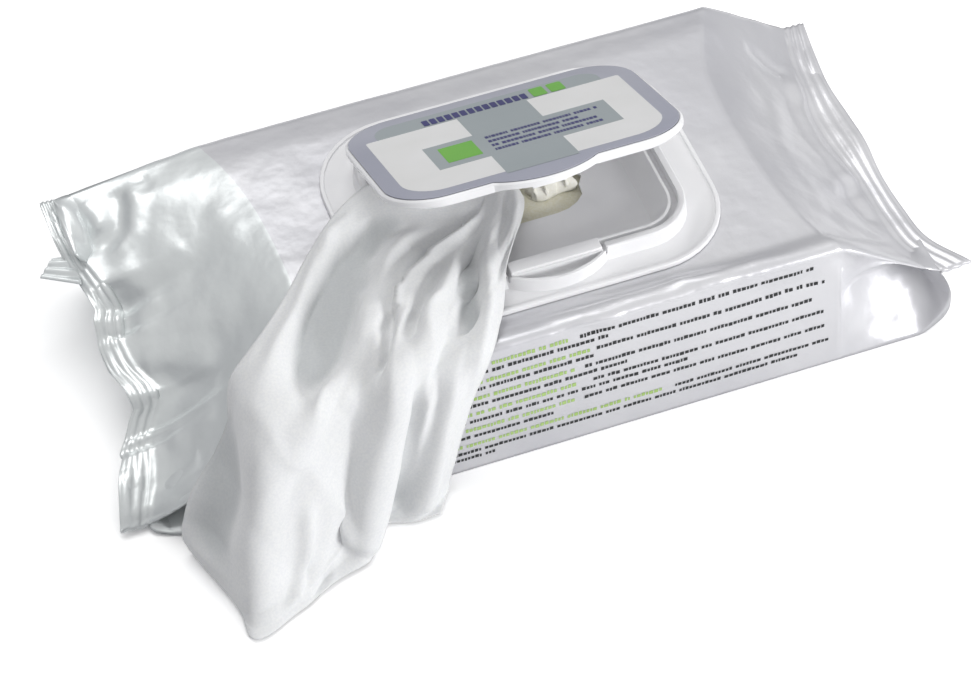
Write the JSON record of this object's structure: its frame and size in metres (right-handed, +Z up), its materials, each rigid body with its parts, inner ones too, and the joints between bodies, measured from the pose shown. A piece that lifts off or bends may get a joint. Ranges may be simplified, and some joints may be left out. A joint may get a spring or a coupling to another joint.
{
  "type": "wet wipes pack",
  "caption": "Soft flow-wrapped pack of wet wipes with a hinged flip-top lid, a wipe pulled out over its front.",
  "frame": {"origin": "centre of the pouch's flat underside, between its shoulders", "axes": "+X along the pack towards its right seal, +Y towards the lid's hinge, +Z up"},
  "size_m": [0.3085, 0.1781, 0.1034],
  "materials": {
    "film": "satin white film with a silvery sheen",
    "moulding": "satin white moulded plastic",
    "label": "printed satin label",
    "nonwoven": "moist white nonwoven"
  },
  "bodies": {
    "pack": {"film_pouch": "film", "lid_frame": "moulding", "wipe_stack": "nonwoven", "next_wipe": "nonwoven", "pulled_wipe": "nonwoven"},
    "lid": {"lid": "moulding", "lid_label": "label"}
  },
  "joints": [
    {"name": "lid_hinge", "type": "hinge", "parent": "pack", "child": "lid", "pos_m": [0.0013, 0.0391, 0.0642], "axis": [-1, 0, 0], "range_deg": [-18.5, 125.5]}
  ]
}
